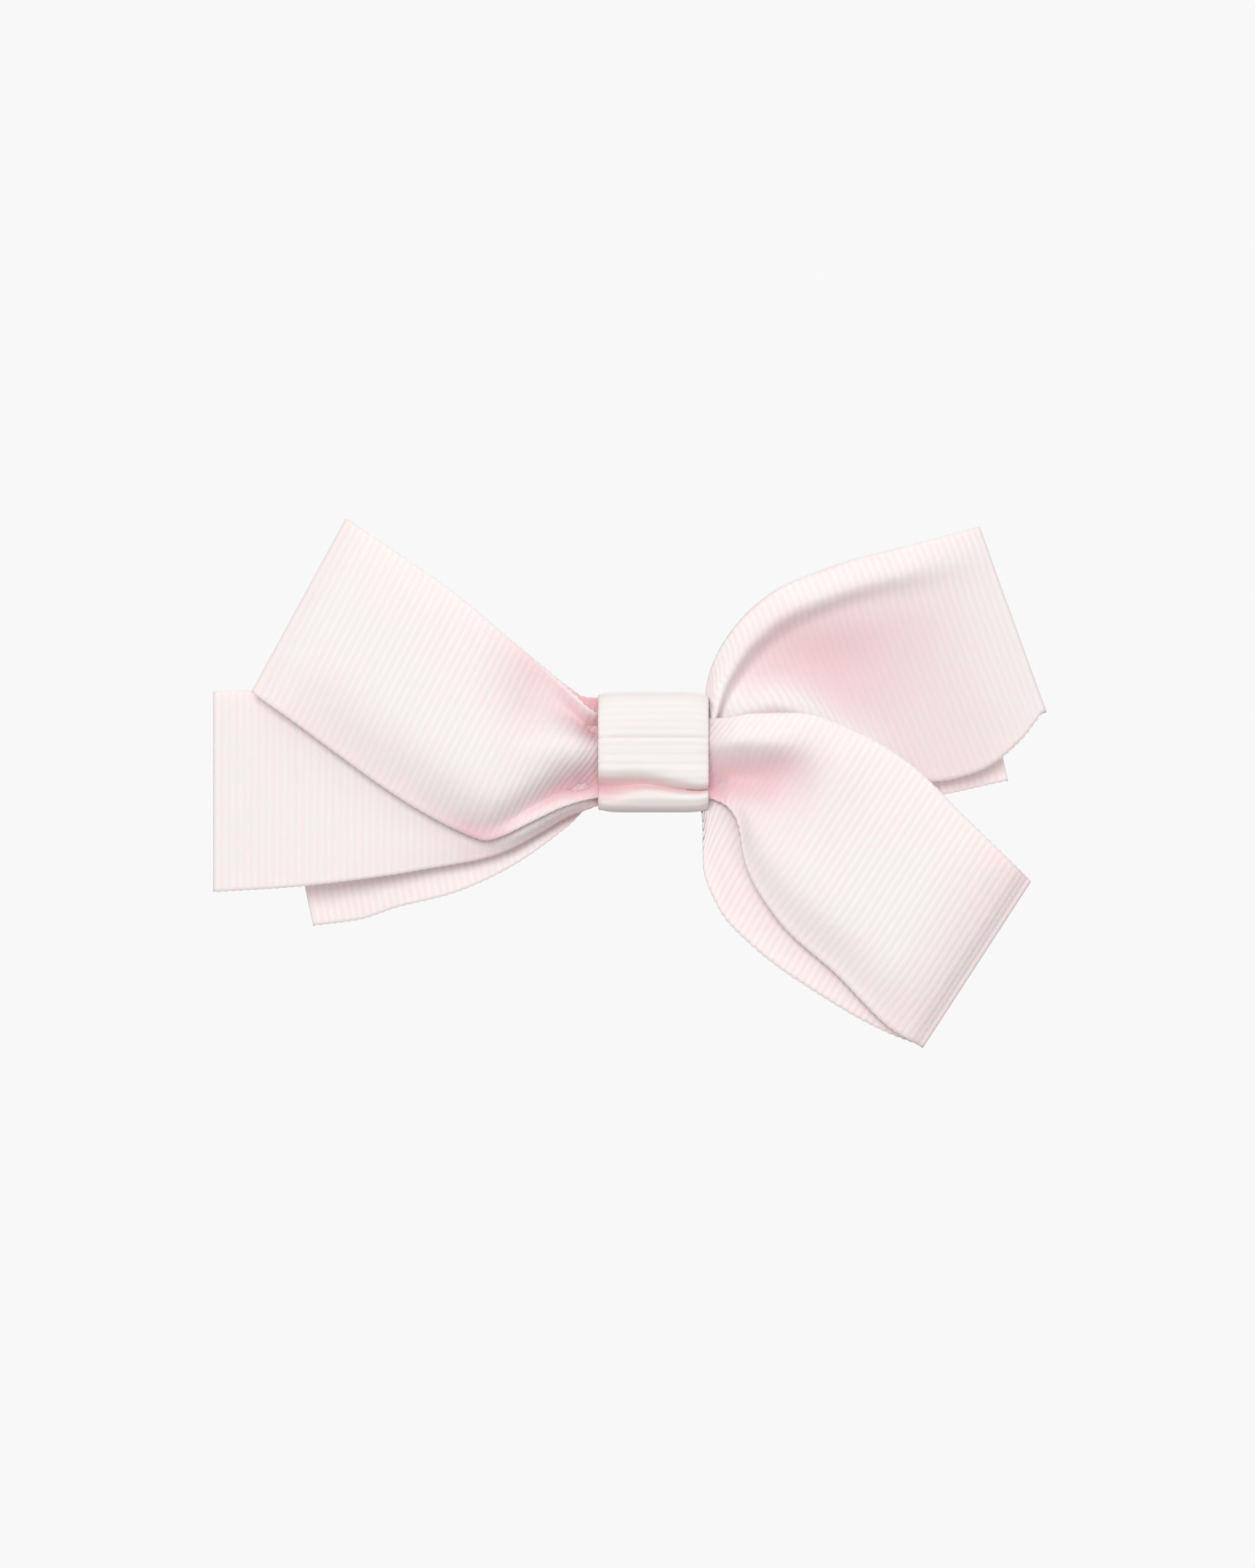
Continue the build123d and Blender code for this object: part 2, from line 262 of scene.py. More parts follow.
# node of a kind, with its own settings and the values of its input sockets
def addNode(tree, kind, sockets=None, **settings):
    node = tree.nodes.new(kind)
    for setting, value in settings.items():
        setattr(node, setting, value)
    for socket, value in (sockets or {}).items():
        node.inputs[socket].default_value = value
    return node


# blend of two colours by its factor
def addTint(tree, first, second):
    sockets = {"A": (*first, 1), "B": (*second, 1)}
    return addNode(tree, "ShaderNodeMix", sockets, data_type="RGBA")


# one link for each row of (node, output, node, input)
def joinUp(tree, rows):
    for source, output, target, socket in rows:
        tree.links.new(source.outputs[output], target.inputs[socket])


cloth = {
    "color": (0.94, 0.86, 0.845),
    # painted shade colours: darker in the grooves between ribs, and the deeper pink of shaded folds
    "paintedGrooveShade": (0.925, 0.805, 0.80),
    "paintedShade": (0.77, 0.43, 0.47),
    "roughness": 0.78,
    "specular": 0.25,
    "sheen": 0.2,
    "through": 0.4,
    "bleed": (1.0, 0.45, 0.45),
    "bleedDepth": 0.0008,
    "yarnScale": 3500,
    "relief": 0.15,
    "reliefDepth": 0.00005,
}


# ribbon colour = cloth, with painted shade in the grooves between ribs by 0.5 - 0.5 cos(2 pi x ribs
# x share along), then a deeper pink of painted shade inside the folds by the point attribute's
# share; fine noise in the bump stands for warp yarns
def ribbonMaterial(name, cloth, ribs):
    material, tree, shader = addMaterial(name, {
        "Roughness": cloth["roughness"],
        "Specular IOR Level": cloth["specular"],
        "Sheen Weight": cloth["sheen"],
        "Subsurface Weight": cloth["through"],
        "Subsurface Radius": cloth["bleed"],
        "Subsurface Scale": cloth["bleedDepth"],
    })
    weave = addNode(tree, "ShaderNodeUVMap", uv_map="weave")
    split = addNode(tree, "ShaderNodeSeparateXYZ")
    turn = addNode(tree, "ShaderNodeMath", {1: 2 * math.pi * ribs}, operation="MULTIPLY")
    wave = addNode(tree, "ShaderNodeMath", operation="COSINE")
    paintedGrooveShade = addNode(tree, "ShaderNodeMapRange", {"From Min": 1, "From Max": -1})
    tint = addTint(tree, cloth["color"], cloth["paintedGrooveShade"])
    share = addNode(tree, "ShaderNodeAttribute", attribute_name="paintedShade")
    paintedFoldShade = addTint(tree, cloth["color"], cloth["paintedShade"])
    place = addNode(tree, "ShaderNodeTexCoord")
    yarns = addNode(tree, "ShaderNodeTexNoise", {"Scale": cloth["yarnScale"], "Detail": 2})
    relief = {"Strength": cloth["relief"], "Distance": cloth["reliefDepth"]}
    bump = addNode(tree, "ShaderNodeBump", relief)
    joinUp(tree, [
        (weave, "UV", split, 0),
        (split, "X", turn, 0),
        (turn, 0, wave, 0),
        (wave, 0, paintedGrooveShade, "Value"),
        (paintedGrooveShade, "Result", tint, "Factor"),
        (tint, "Result", paintedFoldShade, "A"),
        (share, "Fac", paintedFoldShade, "Factor"),
        (paintedFoldShade, "Result", shader, "Base Color"),
        (place, "Object", yarns, "Vector"),
        (yarns, "Fac", bump, "Height"),
        (bump, "Normal", shader, "Normal"),
    ])
    return material


# Ribbon layers, from the knot at share 0 to the fold or cut end at share 1. upper and lower are the
# two edges in the front view; at is a fold's place as a share across from the lower edge, height
# its rise towards the viewer, above and below its spread to each side. side and tilt, in degrees,
# are the way out of the end fold.
# The share of deeper pink in each layer table and fold is painted shade, laid where the ribbon lies
# in shade: by the knot, inside folds, along edges and by the end folds; a negative share takes it
# off a lit ridge.
frontLeft = {
    "side": -1, "tilt": 28.3,
    "upper": [
        (0, 4.2), (-3, 4.6), (-5.8, 4.5), (-7.0, 5.0), (-8.4, 6.2), (-10.1, 7.8), (-12.6, 10.0),
        (-15.8, 12.7), (-21.8, 17.7), (-33.4, 25.7),
    ],
    "lower": [
        (0, -4.2), (-3, -4.6), (-6.6, -4.9), (-9.9, -5.8), (-12.3, -6.9), (-14.3, -7.9),
        (-16.6, -9.0), (-18.4, -9.5), (-20.4, -8.9), (-43.8, 6.5),
    ],
    "depth": [
        (0, 5.55), (0.12, 6.0), (0.2, 7.6), (0.3, 8.4), (0.45, 8.6), (0.7, 8.2), (0.9, 7.4),
        (1, 6.2),
    ],
    "paintedShade": [(0, 0.5), (0.14, 0.25), (0.22, 0.03), (0.94, 0.03), (1, 0.12)],
    "folds": [
        {
            "at": [(0, 0.8), (0.16, 0.8), (0.24, 0.84), (0.35, 0.86), (1, 0.8)],
            "height": [
                (0, 0), (0.1, -0.4), (0.16, -2.4), (0.22, -2.6), (0.34, -2.4), (0.42, -1.6),
                (0.54, -0.4), (0.7, 0), (1, 0),
            ],
            "above": [(0, 0.7), (0.2, 1.4), (0.4, 5), (1, 6)],
            "below": [(0, 0.8), (0.16, 1.0), (0.25, 1.8), (0.4, 4.5), (1, 6)],
            "paintedShade": [
                (0, 0), (0.12, 0.7), (0.19, 0.55), (0.28, 0.36), (0.38, 0.32), (0.5, 0.06),
                (0.6, 0), (1, 0),
            ],
        },
        {
            "at": [(0, 0.5), (0.2, 0.55), (0.4, 0.5), (1, 0.4)],
            "height": [(0, 0), (0.12, 0.4), (0.2, 1.2), (0.35, 0.6), (0.5, 0), (1, 0)],
            "above": [(0, 1.6), (1, 4)],
            "below": [(0, 2), (1, 5)],
        },
        {
            "at": [(0, 0.14), (0.18, 0.17), (0.3, 0.12), (0.4, 0.08), (1, 0.05)],
            "height": [
                (0, 0), (0.12, -0.5), (0.18, -2.1), (0.28, -1.8), (0.36, -0.8), (0.45, 0), (1, 0),
            ],
            "above": [(0, 1.2), (0.2, 2.2), (0.4, 2.6), (1, 4)],
            "below": [(0, 0.8), (0.3, 0.9), (1, 1)],
            "paintedShade": [(0, 0), (0.1, 0.7), (0.2, 0.7), (0.3, 0.35), (0.38, 0.15), (0.5, 0), (1, 0)],
        },
        # a fold of no height: painted shade alone, a dark pink band along the lower edge
        {
            "at": [(0, 0.02), (1, 0.02)],
            "height": [(0, 0), (1, 0)],
            "above": [(0, 1.2), (1, 1.0)],
            "below": [(0, 1), (1, 1)],
            "paintedShade": [
                (0, 0), (0.3, 0.05), (0.37, 0.4), (0.42, 0.5), (0.5, 0.25), (0.6, 0.1), (0.9, 0.08),
                (1, 0),
            ],
        },
        {
            "at": [(0, 0), (1, 0)],
            "height": [
                (0, 0), (0.12, -0.6), (0.2, -1.5), (0.32, -2.3), (0.42, -2.7), (0.6, -2.2),
                (0.85, -1.5), (1, -0.1),
            ],
            "above": [(0, 1.2), (0.3, 2.6), (0.5, 3.8), (0.7, 4.6), (1, 5)],
            "below": [(0, 1), (1, 1)],
            "paintedShade": [(0, 0), (0.3, 0.05), (0.42, 0.1), (0.8, 0.1), (1, 0)],
        },
    ],
}
frontLeftBack = {
    "upper": [
        (0, 4.2), (-3, 4.8), (-5.8, 6.2), (-7.4, 6.3), (-9.4, 7.5), (-12.2, 9.6), (-16.9, 13.2),
        (-21.8, 17.2), (-33.1, 25.5),
    ],
    "lower": [(0, -4.2), (-6.4, -4.6), (-12, -5.6), (-18.6, -8.0), (-43.5, 6.6)],
    "depth": [(0, 4.8), (0.14, 4.85), (0.3, 5.0), (0.6, 4.9), (0.9, 4.9), (1, 5.2)],
    "paintedShade": [(0, 0.8), (0.2, 0.8), (0.3, 0.3), (0.5, 0.1), (1, 0.1)],
}
frontRight = {
    "side": 1, "tilt": -33.1,
    "upper": [
        (0, 4.2), (3, 4.4), (6.1, 3.9), (8.2, 4.0), (10.6, 4.4), (16.2, 4.5), (21, 3.0),
        (27.4, -0.6), (34.6, -7.4), (41.1, -13.6),
    ],
    "lower": [
        (0, -4.2), (3, -4.6), (6.1, -4.9), (7.9, -5.6), (9.2, -7.4), (10.1, -12.0), (13.8, -18.4),
        (20.2, -24.3), (26.0, -30.1), (29.2, -32.0),
    ],
    "depth": [
        (0, 5.55), (0.12, 6.0), (0.22, 7.5), (0.34, 8.6), (0.5, 9.4), (0.78, 9.2), (0.9, 8.6),
        (0.96, 7.8), (1, 6.4),
    ],
    "paintedShade": [(0, 0.5), (0.13, 0.25), (0.2, 0.0), (0.8, 0.0), (0.93, 0.16), (1, 0.22)],
    "folds": [
        {
            "at": [(0, 0.6), (0.2, 0.74), (0.35, 0.8), (1, 0.8)],
            "height": [(0, 0), (0.12, 0.6), (0.2, 1.7), (0.3, 1.8), (0.45, 0.7), (0.6, 0), (1, 0)],
            "above": [(0, 2), (0.3, 3), (1, 4)],
            "below": [(0, 1.2), (0.25, 1.6), (0.5, 4), (1, 5)],
        },
        {
            "at": [(0, 0.16), (0.14, 0.2), (0.22, 0.36), (0.32, 0.53), (0.42, 0.62), (1, 0.6)],
            "height": [
                (0, 0), (0.12, -0.6), (0.18, -2.0), (0.28, -2.7), (0.38, -1.4), (0.5, 0), (1, 0),
            ],
            "above": [(0, 1.8), (0.25, 2.2), (0.5, 4), (1, 5)],
            "below": [(0, 1.2), (0.25, 2.2), (0.5, 5), (1, 6)],
            "paintedShade": [
                (0, 0), (0.1, 0.7), (0.2, 0.7), (0.32, 0.62), (0.42, 0.3), (0.52, 0.05), (1, 0),
            ],
        },
        {
            "at": [(0, 0), (1, 0)],
            "height": [(0, 0), (0.2, -0.4), (0.35, -1.6), (0.6, -2.0), (0.85, -1.5), (1, -0.1)],
            "above": [(0, 1.2), (0.3, 2.2), (0.5, 3), (1, 4)],
            "below": [(0, 1), (1, 1)],
            "paintedShade": [(0, 0), (0.3, 0.12), (0.6, 0.12), (0.9, 0.08), (1, 0)],
        },
    ],
}
frontRightBack = {
    "upper": [
        (0, 4.2), (6.3, 2.8), (10.6, 3.0), (16.0, 3.4), (20.8, 2.2), (27.0, -1.4), (34.2, -8.0),
        (40.9, -13.8),
    ],
    "lower": [
        (0, -4.2), (3, -4.8), (5.2, -5.8), (5.5, -8.0), (5.5, -12.0), (7.2, -17.0), (11.2, -21.4),
        (18.0, -26.3), (25.4, -30.5), (29.0, -31.9),
    ],
    "depth": [(0, 4.8), (0.14, 4.7), (0.25, 4.8), (0.35, 4.95), (0.6, 5.6), (1, 5.4)],
    "paintedShade": [(0, 0.6), (0.14, 0.3), (0.25, 0.12), (0.6, 0.1), (1, 0.1)],
    "folds": [
        {
            "at": [(0, 0), (1, 0)],
            "height": [(0, 0), (0.2, 0.2), (0.4, 1.2), (0.7, 0.9), (1, 0)],
            "above": [(0, 2), (1, 3)],
            "below": [(0, 1), (1, 1)],
        },
    ],
}
rearLeft = {
    "side": -1, "tilt": 0,
    "upper": [(0, 4.2), (-6.4, 4.0), (-9, 4.2), (-12, 5.6), (-20, 7.4), (-30, 7.6), (-48.1, 7.0)],
    "lower": [
        (0, -4.2), (-3, -4.8), (-6.6, -5.8), (-9.4, -6.9), (-12.6, -8.8), (-16, -10.6),
        (-19.1, -11.6), (-24.7, -12.6), (-29.4, -13.4), (-40.2, -14.7), (-48.1, -15.2),
    ],
    "depth": [(0, 3.95), (0.14, 4.0), (0.4, 4.3), (0.75, 4.1), (1, 3.2)],
    "paintedShade": [(0, 0.8), (0.2, 0.8), (0.3, 0.6), (0.38, 0.4), (0.5, 0.14), (0.7, 0.07), (1, 0.07)],
    "folds": [
        {
            "at": [(0, 0.12), (0.25, 0.1), (0.4, 0.08), (1, 0.1)],
            "height": [(0, 0), (0.12, 0.4), (0.2, 1.3), (0.3, 1.1), (0.42, 0), (1, 0)],
            "above": [(0, 0.8), (1, 1.2)],
            "below": [(0, 0.9), (1, 1)],
            "paintedShade": [(0, -0.4), (0.3, -0.5), (0.45, 0), (1, 0)],
        },
        {
            "at": [(0, 0), (1, 0)],
            "height": [(0, 0), (0.14, -0.3), (0.3, -1.0), (0.5, -0.4), (1, 0)],
            "above": [(0, 0.8), (1, 2)],
            "below": [(0, 1), (1, 1)],
        },
    ],
}
rearLeftBack = {
    "upper": [(0, 4.2), (-6.4, 4.0), (-12, 5.2), (-20, 6.8), (-30, 7.1), (-48.1, 6.9)],
    "lower": [
        (0, -4.2), (-7, -4.9), (-11.4, -6.6), (-16, -9.4), (-24.7, -12.0), (-40.2, -14.3),
        (-48.1, -15.1),
    ],
    "depth": [(0, 3.1), (0.14, 3.1), (0.5, 2.4), (1, 2.2)],
    "paintedShade": [(0, 0.5), (0.2, 0.3), (0.5, 0.1), (1, 0.06)],
}
rearRight = {
    "side": 1, "tilt": 20,
    "upper": [
        (0, 4.2), (3, 4.8), (5.7, 6.2), (6.0, 7.8), (6.6, 9.9), (7.8, 12.3), (10.2, 15.4),
        (13.96, 18.3), (16.5, 19.4), (21.8, 21.3), (28.7, 23.1), (35.5, 25.0),
    ],
    "lower": [
        (0, -4.2), (6.4, -3.4), (12, -3.0), (20, -2.8), (27, -3.2), (31.4, -3.0), (36.2, -1.8),
        (40.5, 1.4), (43.0, 4.6),
    ],
    "depth": [(0, 3.95), (0.14, 3.9), (0.3, 3.8), (0.5, 4.3), (0.7, 5.0), (1, 3.9)],
    "lean": [(0, 0), (0.2, 0), (0.36, 1.2), (0.5, 2.6), (0.8, 3.0), (1, 1.4)],
    "paintedShade": [
        (0, 0.6), (0.14, 0.3), (0.24, 0.06), (0.4, 0.1), (0.55, 0.2), (0.75, 0.22), (0.9, 0.12),
        (1, 0.08),
    ],
    "folds": [
        {
            "at": [
                (0, 0.5), (0.15, 0.64), (0.25, 0.79), (0.36, 0.85), (0.5, 0.875), (0.75, 0.895),
                (1, 0.91),
            ],
            "height": [
                (0, 0), (0.13, 1.6), (0.2, 2.8), (0.36, 3.1), (0.55, 2.7), (0.75, 1.8), (0.9, 1.0),
                (1, 0.3),
            ],
            "above": [(0, 2.5), (0.3, 4.5), (1, 5)],
            "below": [(0, 1.0), (0.3, 1.0), (0.6, 1.0), (0.8, 1.6), (1, 3)],
            "paintedShade": [(0, 0), (0.2, -0.05), (0.4, -0.12), (0.55, -0.2), (0.8, -0.2), (1, -0.05)],
        },
        {
            "at": [(0, 0.4), (0.2, 0.62), (0.3, 0.66), (0.42, 0.66), (0.55, 0.62), (1, 0.6)],
            "height": [(0, 0), (0.15, 0), (0.32, -0.3), (0.5, -1.3), (0.7, -0.6), (1, 0)],
            "above": [(0, 1.5), (0.35, 3.0), (0.5, 3.6), (1, 4)],
            "below": [(0, 1.2), (0.36, 2), (0.5, 5), (1, 7)],
            "paintedShade": [
                (0, 0), (0.22, 0), (0.3, 0.2), (0.38, 0.36), (0.48, 0.4), (0.6, 0.34), (0.74, 0.18),
                (0.9, 0.04), (1, 0),
            ],
        },
        {
            "at": [(0, 0.5), (0.25, 0.52), (0.35, 0.48), (0.44, 0.36), (0.54, 0.16), (1, 0)],
            "height": [
                (0, 0), (0.16, 0.4), (0.26, 1.4), (0.36, 1.7), (0.46, 1.4), (0.56, 0.5), (0.66, 0),
                (1, 0),
            ],
            "above": [(0, 1.2), (0.3, 1.8), (0.5, 2.2), (1, 3)],
            "below": [(0, 2), (0.5, 2.5), (1, 3)],
            "paintedShade": [(0, -0.2), (0.3, -0.3), (0.5, -0.4), (0.65, 0), (1, 0)],
        },
    ],
}
rearRightBack = {
    "upper": [
        (0, 4.2), (3, 4.4), (5.7, 5.2), (7.2, 9.6), (10.6, 14.6), (16.7, 18.8), (28.7, 22.6),
        (35.3, 24.7),
    ],
    "lower": [
        (0, -4.2), (6.4, -3.6), (12, -3.4), (20, -3.0), (28.3, -2.9), (33, -2.5), (37.4, -0.6),
        (42.9, 4.4),
    ],
    "depth": [(0, 3.1), (0.14, 3.0), (0.3, 2.5), (0.5, 2.4), (1, 2.9)],
    "lean": [(0, 0), (0.3, 0.1), (0.5, 0.4), (0.8, 1.2), (1, 1.4)],
    "paintedShade": [(0, 0.6), (0.2, 0.4), (0.5, 0.1), (1, 0.06)],
}


# direction out of a fold = (side x cos(tilt), 0, sin(tilt)), with nothing added to the pink
def outOfFold(layer):
    tilt = math.radians(layer["tilt"])
    return np.array([layer["side"] * math.cos(tilt), 0, math.sin(tilt), 0])


# length of a ribbon = mean over its columns of the length along its rows
def ribbonLength(points):
    return float(runLength(points[..., :3])[-1].mean())


across = np.linspace(0, 1, ribbon["columns"])[None, :]


# ring of ribbon = front pass from left fold to right fold, then back pass from right to left
def loopRing(name, left, leftBack, right, rightBack):
    layers = (left, leftBack, right, rightBack)
    sheetLeft, sheetLeftBack, sheetRight, sheetRightBack = [layerSurface(x, across) for x in layers]
    outLeft, outRight = outOfFold(left), outOfFold(right)
    frontPass = np.concatenate([
        foldQuarter(sheetLeft[-1], sheetLeftBack[-1], outLeft)[::-1],
        sheetLeft[::-1],
        sheetRight[1:],
        foldQuarter(sheetRight[-1], sheetRightBack[-1], outRight),
    ])
    backPass = np.concatenate([
        foldQuarter(sheetRightBack[-1], sheetRight[-1], outRight)[::-1],
        sheetRightBack[::-1],
        sheetLeftBack[1:],
        foldQuarter(sheetLeftBack[-1], sheetLeft[-1], outLeft),
    ])
    rows, ribCount, length = [], 0, 0
    for points in (frontPass, backPass):
        ribs = round(ribbonLength(points) / ribbon["ribPitch"])
        rows.append(evenRows(points, ribs * ribbon["rowsPerRib"])[:-1])
        ribCount += ribs
        length += ribbonLength(points)
    points = np.concatenate(rows)
    points = addRibs(points, ribbon["rowsPerRib"], ribbon["ribHeight"], closed=True)
    piece = gridObject(name, points, closedRows=True)
    thicken(piece, ribbon["thickness"])
    print("stage:", name, "length", round(length, 1), "ribs", ribCount)
    return piece, ribCount, length


frontRing, frontRibs, frontLength = loopRing(
    "frontLoops", frontLeft, frontLeftBack, frontRight, frontRightBack
)
frontRing.data.materials.append(ribbonMaterial("ribbonFront", cloth, frontRibs))
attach(frontRing, "bow")
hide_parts("front_loops")

rearRing, rearRibs, rearLength = loopRing(
    "rearLoops", rearLeft, rearLeftBack, rearRight, rearRightBack
)
rearRing.data.materials.append(ribbonMaterial("ribbonRear", cloth, rearRibs))
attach(rearRing, "bow")
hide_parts("rear_loops")

# tails: one strip behind the loops, both ends cut square
# each tail's share of deeper pink is painted shade by the knot
leftTail = {
    "upper": [(0, 4.2), (-9, 4.4), (-18, 4.6), (-30, 4.0), (-42.6, 2.8)],
    "lower": [
        (0, -4.2), (-6.5, -5.4), (-9.5, -8.0), (-16, -12.6), (-22.2, -15.4), (-28.5, -17.0),
        (-32.8, -18.4), (-37.9, -19.1),
    ],
    "depth": [(0, 2.25), (0.2, 2.2), (0.45, 1.6), (0.6, 1.5), (1, -1.6)],
    "paintedShade": [(0, 0.6), (0.2, 0.3), (0.4, 0.0), (1, 0.0)],
}
rightTail = {
    "upper": [(0, 4.2), (6.4, 4.4), (12, 8.0), (20, 13.4), (34.9, 18.8)],
    "lower": [(0, -4.2), (6.4, -4.2), (12, -5.4), (20, -5.6), (30, -4.8), (39.5, -2.9)],
    "depth": [(0, 2.25), (0.2, 2.2), (0.45, 1.6), (0.6, 1.5), (1, -0.4)],
    "paintedShade": [(0, 0.6), (0.2, 0.3), (0.4, 0.03), (1, 0.03)],
}
tailPoints = np.concatenate([
    layerSurface(leftTail, across)[::-1],
    layerSurface(rightTail, across)[1:],
])
tailLength = ribbonLength(tailPoints)
tailRibs = round(tailLength / ribbon["ribPitch"])
tailPoints = evenRows(tailPoints, tailRibs * ribbon["rowsPerRib"])
tailPoints = addRibs(tailPoints, ribbon["rowsPerRib"], ribbon["ribHeight"])
tailStrip = gridObject("tailStrip", tailPoints)
thicken(tailStrip, ribbon["thickness"])
tailStrip.data.materials.append(ribbonMaterial("ribbonTail", cloth, tailRibs))
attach(tailStrip, "bow")
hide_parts("tails")
print("stage: tails length", round(tailLength, 1))

# knot: ribbon wrapped round the gathered middle and the clip's front jaw; profile is (depth, z),
# crease is the line of its low fold as (x, z), and lines are (z, depth) of its fine creases
knot = {
    "halfWidth": 6.0,
    "thickness": 0.3,
    "ribPitch": 0.8,
    "rowsPerRib": 6,
    "ribHeight": 0.014,
    "edgeSwell": 0.01,
    "columns": 60,
    "profile": [
        (7.5, 0), (7.5, 3.4), (7.35, 5.0), (6.6, 6.3), (5.0, 6.8), (3.2, 6.8), (1.5, 6.4),
        (0.6, 5.4), (-0.1, 5.35), (-0.32, 4.6), (-0.32, 2.5), (-0.32, 0), (-0.32, -2.5),
        (-0.32, -4.6), (-0.1, -5.35), (0.6, -5.4), (1.5, -6.0), (3.2, -6.25), (5.0, -6.25),
        (6.6, -5.8), (7.3, -4.7), (7.5, -3.2),
    ],
    "frontFrom": 5.4,
    "frontOver": 1.2,
    "crown": 0.4,
    "crownHalf": 6.5,
    "crease": [(-6, -3.7), (-1.4, -3.3), (2.6, -3.8), (6, -4.1)],
    "creaseAbove": [(-6, 1.1), (0, 0.8), (6, 0.4)],
    "creaseBelow": [(-6, 1.3), (0, 0.6), (6, 0.4)],
    "creaseDepth": 1.75,
    # painted shade along the crease, the fine lines and the roll below the crease
    "creasePaintedShade": [(-6, 0.95), (0, 0.65), (6, 0.45)],
    "rollFrom": 0.8,
    "rollOver": 0.6,
    "rollPaintedShade": 0.08,
    "swell": 0.2,
    "swellAt": 1.9,
    "swellSpread": 1.2,
    "lines": [(1.8, 0.20), (0.9, 0.06), (-0.05, 0.10), (-1.0, 0.10)],
    "lineSpread": 0.2,
    "linePaintedShade": 0.5,
    "edgeCurl": 0.45,
    "edgePull": 0.07,
    "pullFrom": 1.5,
    "pullOver": 1.5,
    # an even touch of painted shade over the whole band
    "paintedShade": 0.05,
    "flatWidth": 12.0,
    "flatLength": 47.0,  # once round and the overlap behind the clip
    # the ribbon's cloth made a little darker for the knot: painted shade
    "cloth": {**cloth, "color": (0.905, 0.845, 0.822), "paintedGrooveShade": (0.90, 0.822, 0.80)},
}


# fine closed path through the profile: the smooth curve over one whole round of its corner points
def closedProfile(points):
    points = np.array(points, float)
    wrapped = np.concatenate([points[-3:], points, points[:4]])
    chord = runLength(wrapped)
    return throughCorners(wrapped, chord, np.linspace(chord[3], chord[3 + len(points)], 4000))


# knot point = profile carried along x; on its front the depth gains a low crown, loses the crease,
# swells just above it and loses the fine lines, and both edges curl in as share across^8; painted
# shade, a deeper pink, follows the crease, the lines and the roll below the crease
def knotSurface(knot, loopPath, side):
    depth = loopPath[:, :1] + 0 * side
    height = loopPath[:, 1:] + 0 * side
    x = knot["halfWidth"] * side + 0 * depth
    inFront = smoothStep((depth - knot["frontFrom"]) / knot["frontOver"])
    fromCrease = height - smoothThrough(knot["crease"], x)
    above = bell(fromCrease, smoothThrough(knot["creaseAbove"], x))
    below = bell(fromCrease, smoothThrough(knot["creaseBelow"], x))
    notch = np.where(fromCrease > 0, above, below)
    lines = sum(size * bell(height - at, knot["lineSpread"]) for at, size in knot["lines"])
    crown = knot["crown"] * (1 - (height / knot["crownHalf"]) ** 2)
    swell = knot["swell"] * bell(fromCrease - knot["swellAt"], knot["swellSpread"])
    edge = np.abs(side) ** 8
    depth = depth + inFront * (crown - knot["creaseDepth"] * notch + swell - lines)
    depth = depth - inFront * knot["edgeCurl"] * edge
    pull = smoothStep((depth - knot["pullFrom"]) / knot["pullOver"])
    height = height * (1 - knot["edgePull"] * edge * pull)
    roll = knot["rollPaintedShade"] * smoothStep((-fromCrease - knot["rollFrom"]) / knot["rollOver"])
    paintedShade = notch * smoothThrough(knot["creasePaintedShade"], x) + knot["linePaintedShade"] * lines + roll
    return np.stack([x, -depth, height, inFront * paintedShade + knot["paintedShade"]], -1)


profilePath = closedProfile(knot["profile"])
profileRun = runLength(profilePath)
knotLength = float(profileRun[-1])
knotRibs = round(knotLength / knot["ribPitch"])
even = np.linspace(0, knotLength, knotRibs * knot["rowsPerRib"], endpoint=False)
loopPath = np.stack([np.interp(even, profileRun, profilePath[:, axis]) for axis in (0, 1)], -1)
side = np.linspace(-1, 1, knot["columns"])[None, :]
knotPoints = knotSurface(knot, loopPath, side)
knotPoints = addRibs(knotPoints, knot["rowsPerRib"], knot["ribHeight"], True, knot["edgeSwell"])
knotBand = gridObject("knotBand", knotPoints, closedRows=True)
thicken(knotBand, knot["thickness"])
knotBand.data.materials.append(ribbonMaterial("ribbonKnot", knot["cloth"], knotRibs))
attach(knotBand, "bow")
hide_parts("knot")
print("stage: knot length", round(knotLength, 1))

# lining: narrow ribbon over the front jaw, turned in round its tip; front and back are its depths
lining = {
    "halfWidth": 5.0,
    "front": 0.825,
    "back": -0.225,
    "heel": 22.0,
    "tip": -23.0,
    "innerEnd": -8.0,
    "frontSteps": 400,
    "turnSteps": 60,
    "backSteps": 200,
    "thickness": 0.3,
    "rowsPerRib": 6,
    "ribHeight": 0.03,
    # an even touch of painted shade over the whole lining
    "paintedShade": 0.05,
}
middle = (lining["front"] + lining["back"]) / 2
turnRadius = (lining["front"] - lining["back"]) / 2
angle = np.linspace(0, math.pi, lining["turnSteps"])[1:-1]
frontX = np.linspace(lining["heel"], lining["tip"], lining["frontSteps"])
backX = np.linspace(lining["tip"], lining["innerEnd"], lining["backSteps"])
path = np.concatenate([
    np.stack([frontX, 0 * frontX + lining["front"]], 1),
    np.stack([lining["tip"] - turnRadius * np.sin(angle), middle + turnRadius * np.cos(angle)], 1),
    np.stack([backX, 0 * backX + lining["back"]], 1),
])
x, depth = path[:, :1] + 0 * side, path[:, 1:] + 0 * side
liningPoints = np.stack([x, -depth, lining["halfWidth"] * side + 0 * x, 0 * x + lining["paintedShade"]], -1)
liningLength = float(runLength(path)[-1])
liningRibs = round(liningLength / ribbon["ribPitch"])
liningPoints = evenRows(liningPoints[::-1], liningRibs * lining["rowsPerRib"])
